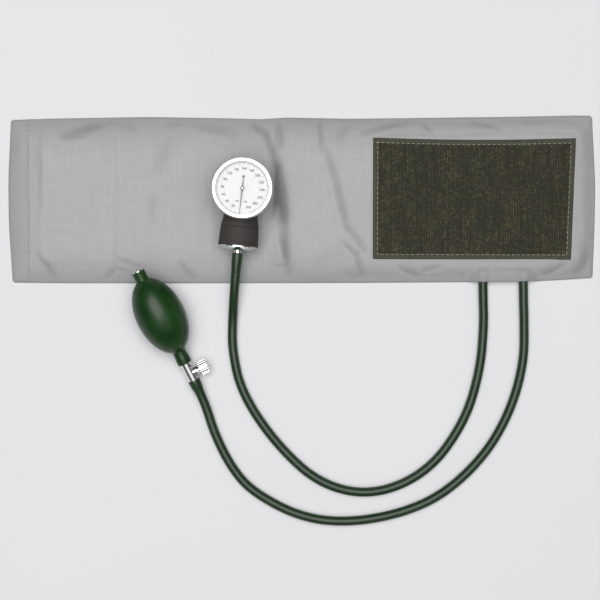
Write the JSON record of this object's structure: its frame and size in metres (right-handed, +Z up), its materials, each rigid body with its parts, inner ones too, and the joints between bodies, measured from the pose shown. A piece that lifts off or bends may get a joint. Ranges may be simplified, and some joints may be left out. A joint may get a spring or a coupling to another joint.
{
  "type": "aneroid sphygmomanometer",
  "caption": "Arm cuff with air bag laid flat, dial pressure gauge, rubber squeeze bulb with screw release valve, and two rubber hoses joining them.",
  "frame": {"origin": "centre of the cuff's underside, on the surface that it lies on", "axes": "+X along the cuff towards the hook patch, +Y across it away from the hoses, +Z up"},
  "size_m": [0.513, 0.3564, 0.0433],
  "materials": {
    "cuff_cloth": "plain woven nylon",
    "patch": "hook and pile fastener tape",
    "green_rubber": "smooth satin",
    "bag_rubber": "matt",
    "case_paint": "fine matt texture",
    "bezel_metal": "polished",
    "plated": "polished",
    "dial_white": "matt white",
    "pointer_grey": "matt",
    "glass": "clear",
    "gasket": "matt",
    "brass": "turned",
    "steel": "brushed",
    "valve_disc": "matt"
  },
  "bodies": {
    "root": {"cuff_back": "cuff_cloth", "cuff_front": "cuff_cloth", "bladder": "bag_rubber", "hook_patch": "patch", "pile_patch": "patch", "gauge_case": "case_paint", "capsule_housing": "case_paint", "end_cap": "plated", "gauge_nipple": "plated", "pressure_capsule": "brass", "pin_guide": "brass", "movement_plate": "brass", "movement_bridge": "brass", "movement_pillars": "brass", "movement_screws": "steel", "hairspring": "steel", "hairspring_stud": "brass", "dial_plate": "dial_white", "dial_spacer": "dial_white", "lens_gasket": "gasket", "gauge_lens": "glass", "bezel_ring": "bezel_metal", "gauge_clip": "steel", "clip_screws": "steel", "bulb": "green_rubber", "intake_valve_body": "plated", "intake_retainer": "brass", "release_valve_body": "plated", "outlet_valve_seat": "brass", "needle_gland": "plated", "gauge_hose": "green_rubber", "bulb_hose": "green_rubber"},
    "sector": {"sector_gear": "brass", "sector_arbor": "steel"},
    "pointer_body": {"pointer": "pointer_grey", "pointer_arbor": "steel"},
    "pin": {"push_pin": "steel"},
    "needle": {"valve_needle": "plated"},
    "knob": {"valve_knob": "plated"},
    "intake_valve": {"intake_disc": "valve_disc"},
    "outlet_valve": {"outlet_disc": "valve_disc"}
  },
  "joints": [
    {"name": "sector_swing", "type": "hinge", "parent": "root", "child": "sector", "pos_m": [-0.0561, -0.01001, 0.0187], "axis": [0, 0, 1], "range_deg": [0, 30.13]},
    {"name": "pointer_turn", "type": "hinge", "parent": "root", "child": "pointer_body", "pos_m": [-0.0508, 0.0075, 0.0187], "axis": [0, 0, -1], "range_deg": [0, 337.5], "deforming": ["hairspring"]},
    {"name": "push_pin_slide", "type": "slide", "parent": "root", "child": "pin", "axis": [0.0958, 0.9954, 0], "range_m": [0, 0.00187], "stiffness_N_per_m": 10, "deforming": ["pressure_capsule"]},
    {"name": "needle_slide", "type": "slide", "parent": "root", "child": "needle", "axis": [0.8996, 0.4368, 0], "range_m": [0, 0.00175]},
    {"name": "knob_turn", "type": "hinge", "parent": "needle", "child": "knob", "pos_m": [-0.09802, -0.15092, 0.01078], "axis": [0.8996, 0.4368, 0], "range_deg": [0, 900]},
    {"name": "intake_disc_slide", "type": "slide", "parent": "root", "child": "intake_valve", "axis": [0.4288, -0.883, -0.1908], "range_m": [0, 0.001]},
    {"name": "outlet_disc_slide", "type": "slide", "parent": "root", "child": "outlet_valve", "axis": [0.4288, -0.883, -0.1908], "range_m": [0, 0.001]}
  ],
  "couplings": [
    {"joint": "sector_swing", "follows": "push_pin_slide", "rad_per_m": 280.94},
    {"joint": "pointer_turn", "follows": "push_pin_slide", "rad_per_m": 3146.5},
    {"joint": "knob_turn", "follows": "needle_slide", "rad_per_m": 8976}
  ]
}
